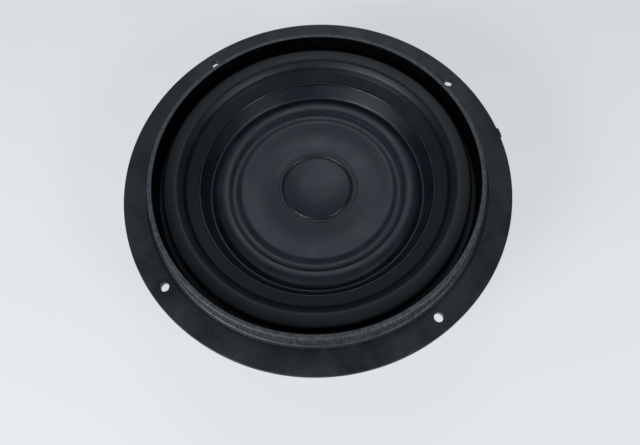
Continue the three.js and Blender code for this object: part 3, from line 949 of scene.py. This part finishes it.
def motor_screws():
    """Four alike, each stopped at its own turn of the driver."""
    for number in range(1, 5):
        node = f"motor_screw_{number}"
        low, high = size_mm(node)
        head_height = 2
        centre = place((low.x + high.x) / 2, (low.y + high.y) / 2, high.z - head_height)
        as_tightened = Matrix.Rotation(radians(17 + 31 * number), 4, "Z")
        length = high.z - low.z - head_height
        screw(f"motor_screw_head_{number}", node, 1.75, 3.6, head_height, length, centre @ as_tightened)


# ------------------------------------------------------------------ terminals and leads

TERMINAL_SCREW = -28  # height of its axis
# Stands a flat plate up, facing +X.
UPRIGHT = Matrix(((0, 0, 1, 0), (1, 0, 0, 0), (0, 1, 0, 0), (0, 0, 0, 1)))


def terminal_openings():
    """The two blade slots and the screw hole through the boss and the board."""
    level = BLADE_HEIGHT - FLANGE_FRONT
    slots = [rectangle(6.9, 1.4, BLADE_OFFSET, level), rectangle(5.4, 1.4, -BLADE_OFFSET, level)]
    return [*slots, circle(1.65, 0, TERMINAL_SCREW, steps=20)]


def terminal_boss():
    """The pad under one leg that carries the terminals. Its top follows the leg's slope."""
    face, depth, half_width, bottom, top, back_top = 79, 13, 16, -31, -17.3, -25.5
    outline = rectangle(2 * half_width, top - bottom, 0, (top + bottom) / 2)
    bm = plate(outline, terminal_openings(), depth, 0.4)
    for vert in bm.verts:
        if vert.co.y / MM > top - 1 and vert.co.z < depth * MM / 2:
            vert.co.y += (back_top - top) * MM
    moved(bm, TO_TERMINALS @ place(face - depth, 0, FLANGE_FRONT) @ UPRIGHT)
    rides(finished("terminal_boss", bm, MOULDING), "frame", "basket_plastic")


def terminal_board():
    """The strip on the boss, held by one screw."""
    bm = plate(rectangle(34, 10.5, 0, -25.75, rounding=1.5), terminal_openings(), 2.5, 0.25)
    moved(bm, TO_TERMINALS @ place(79.3, 0, FLANGE_FRONT) @ UPRIGHT)
    rides(finished("terminal_strip", bm, BOARD), "frame", "fibre_board", "terminal_board")
    head_seat = place(82.1, 0, FLANGE_FRONT + TERMINAL_SCREW)
    facing_out = TO_TERMINALS @ head_seat @ Matrix.Rotation(pi / 2, 4, "Y")
    screw("terminal_screw_head", "terminal_screw", 1.3, 2.6, 1.6, 9, facing_out)


def solder_joint(name, body, radius, height, matrix):
    """A small cone of solder that has wetted what it joins."""
    corners = [
        (0, 0, 0),
        (radius, 0, 0),
        (radius * 0.6, height * 0.35, 0.6),
        (radius * 0.4, height * 0.9, 0.3),
        (0, height, 0),
    ]
    bm = spun(rounded(corners, closed=False), closed=False, steps=TINY_RING_STEPS)
    rides(finished(name, moved(bm, matrix), SOLDER), body, "tinned_brass")


def blade(name, side, width):
    """A push-on blade with a locking hole near its tip and a solder hole in its narrow tail."""
    start, tip, half, thickness = 61, 0.8, width / 2, 0.8
    edge = [
        (start, half * 0.75),
        (start + 4, half * 0.75),
        (start + 5, half),
        (BLADE_END - tip, half),
        (BLADE_END, half - tip),
    ]
    outline = [(x, -y) for x, y in edge] + edge[::-1]
    holes = [circle(0.9, BLADE_END - 4, steps=20), circle(0.7, start + 2.5, steps=20)]
    bm = plate(outline, holes, thickness, 0.12)
    middle = TO_TERMINALS @ place(0, side * BLADE_OFFSET, BLADE_HEIGHT - thickness / 2)
    made = finished("push_on_blade_" + name, moved(bm, middle), TINNED)
    rides(made, "frame", "tinned_brass", "terminal_blade_" + name)
    on_tail = middle @ place(start + 2.2, 0, thickness - 0.05)
    solder_joint("blade_solder_" + name, "frame", 1.6, 1.9, on_tail)


def coil_tab(name, side):
    """The curved tab on the former that a lead is soldered to, and the wire from it down to the coil."""
    turn = TO_TERMINALS @ Matrix.Rotation(radians(20 * side), 4, "Z")
    tab = curved_strip(20.05, 20.55, FLANGE_FRONT - 22.5, FLANGE_FRONT - 18.5, radians(7), 0.1)
    made = finished("coil_tab_" + name, moved(tab, turn), TINNED)
    rides(made, "cone_assembly", "tinned_brass", "lead_tab_" + name)
    coil_top = size_mm("voice_coil")[1].z
    tail = curved_strip(19.8, 20.05, coil_top - 0.5, FLANGE_FRONT - 20, radians(1.5), 0.05)
    rides(finished("coil_tail_" + name, moved(tail, turn), COPPER), "cone_assembly", "coil_copper")
    outwards = turn @ place(20.5, 0, FLANGE_FRONT - 20.6) @ Matrix.Rotation(pi / 2, 4, "Y")
    solder_joint("coil_solder_" + name, "cone_assembly", 1.5, 1.3, outwards)


def tinsel_lead(name, side):
    """Three strands twisted together, from the blade's tail to the tab on the coil former."""
    tab = Matrix.Rotation(radians(20 * side), 3, "Z") @ Vector((20.85, 0, -20.6))
    knots = [(62.5, 9, -22.9), (57, 9, -22.5), (48, 8.8, -19.8), (38, 8.6, -18.6), (29, 9, -20)]
    knots = [Vector((along, side * across, up)) for along, across, up in knots] + [tab]
    middle = smooth_route(knots, 14)
    strand, offset, pitch = 0.42, 0.46, 3.0
    bm = bmesh.new()
    for start in (0, 2 * pi / 3, 4 * pi / 3):
        route = []
        travelled = 0.0
        for i, point in enumerate(middle):
            before, after = middle[max(i - 1, 0)], middle[min(i + 1, len(middle) - 1)]
            travelled += (point - before).length
            ahead = (after - before).normalized()
            aside = ahead.cross(Vector((0, 0, 1))).normalized()
            turn = start + 2 * pi * travelled / pitch
            route.append(point + offset * (cos(turn) * aside + sin(turn) * aside.cross(ahead)))
        tube(bm, route, strand, sides=6)
    to_place = TO_TERMINALS @ place(0, 0, FLANGE_FRONT)
    made = finished("twisted_lead_" + name, moved(bm, to_place), TINSEL, sharp=80)
    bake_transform(made)
    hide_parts("tinsel_lead_" + name)


# ------------------------------------------------------------------ the driver

basket()
gasket()
surround()
spider()
diaphragm()
dust_cap()
cap_ridge()
cap_groove()
edge_bead()
coil_former()
voice_coil()
magnet_system()
back_plate()
vent_screen()
motor_screws()
terminal_boss()
terminal_board()
for name, side, width in (("positive", 1, 6.3), ("negative", -1, 4.8)):
    blade(name, side, width)
    coil_tab(name, side)
    tinsel_lead(name, side)

# ------------------------------------------------------------------ floor, light and camera

CAMERA_TURN = radians(11.57)  # the camera stands this far round from the -Y side
CAMERA_EYE = Vector((0, -0.1394, 0.2792))  # from the middle of the flange, before that turn
CAMERA_AIM = Vector((0, -0.0273, 0))
CAMERA_ROLL = radians(-5.1)
TARGET = Vector((0, 0, FLANGE_FRONT * MM))
# Painted glow of the floor, stronger on the near side than on the far side, standing in for light and shade
# on the table
TABLE_GLOW = (0.565, 0.485)  # on the near side, and on the far side
GLOW_FADES = (0.0, 0.3)  # between these distances along Y, in metres


def table_top():
    """A pale laminate floor with a painted glow, weaker towards the far side as painted shade, so shadows
    stay faint.
    """
    bm = bmesh.new()
    bmesh.ops.create_grid(bm, x_segments=1, y_segments=1, size=3)
    made, tree, shader = finish_of("pale_floor_painted_glow", IOR=1.45, Roughness=0.6)
    shader.inputs["Emission Color"].default_value = linear("#f9fafc")
    coordinates = add(tree, "TexCoord", {}).outputs["Object"]
    away = add(tree, "SeparateXYZ", {"Vector": coordinates}).outputs["Y"]
    link(tree, spread(tree, away, *TABLE_GLOW, *GLOW_FADES), shader, "Emission Strength")
    link(tree, between(tree, object_noise(tree, 300), "#898b8d", "#8f9193"), shader, "Base Color")
    finished("table_top", bm, made)


def soft_light(name, azimuth, elevation, distance, width, height, power, colour):
    """A soft light that faces the woofer. Azimuth 0 is on the camera's side, and 90 on its right."""
    light = bpy.data.lights.new(name, "AREA")
    light.shape = "RECTANGLE"
    light.size = width
    light.size_y = height
    light.energy = power
    light.color = linear(colour)[:3]
    made = bpy.data.objects.new(name, light)
    SCENE.collection.objects.link(made)
    turn, rise = CAMERA_TURN + radians(azimuth), radians(elevation)
    way = Vector((sin(turn) * cos(rise), -cos(turn) * cos(rise), sin(rise)))
    made.location = TARGET + way * distance
    made.rotation_euler = way.to_track_quat("Z", "Y").to_euler()


def sky():
    """A weak bluish light from everywhere."""
    world = bpy.data.worlds.new("studio")
    world.use_nodes = True
    background = world.node_tree.nodes["Background"]
    background.inputs["Color"].default_value = linear("#d2e2ee")
    background.inputs["Strength"].default_value = 0.13
    SCENE.world = world


def camera():
    """Looks down on the near side of the flange, with a slight roll."""
    lens = bpy.data.cameras.new("camera")
    lens.lens = 31.0
    lens.sensor_width = 36.0
    made = bpy.data.objects.new("camera", lens)
    SCENE.collection.objects.link(made)
    turn = Matrix.Rotation(CAMERA_TURN, 3, "Z")
    eye = TARGET + turn @ CAMERA_EYE
    aim = TARGET + turn @ CAMERA_AIM
    facing = (aim - eye).to_track_quat("-Z", "Y").to_matrix().to_4x4()
    made.matrix_world = Matrix.Translation(eye) @ facing @ Matrix.Rotation(CAMERA_ROLL, 4, "Z")
    SCENE.camera = made


table_top()
sky()
soft_light("far_window", 178, 36, 1.5, 3.0, 1.1, 4.2, "#dceaf4")
soft_light("far_lamp", 171, 57, 1.3, 0.5, 0.34, 2.3, "#dceaf6")
soft_light("overhead_lamp", 182, 74, 1.3, 0.25, 0.25, 0.15, "#dceaf6")
soft_light("near_left_lamp", -50, 33, 1.2, 0.5, 0.32, 12.0, "#eef4fb")
soft_light("near_right_lamp", 45, 36, 1.2, 0.35, 0.3, 6.0, "#eef4fb")
camera()
SCENE.view_settings.view_transform = "Standard"
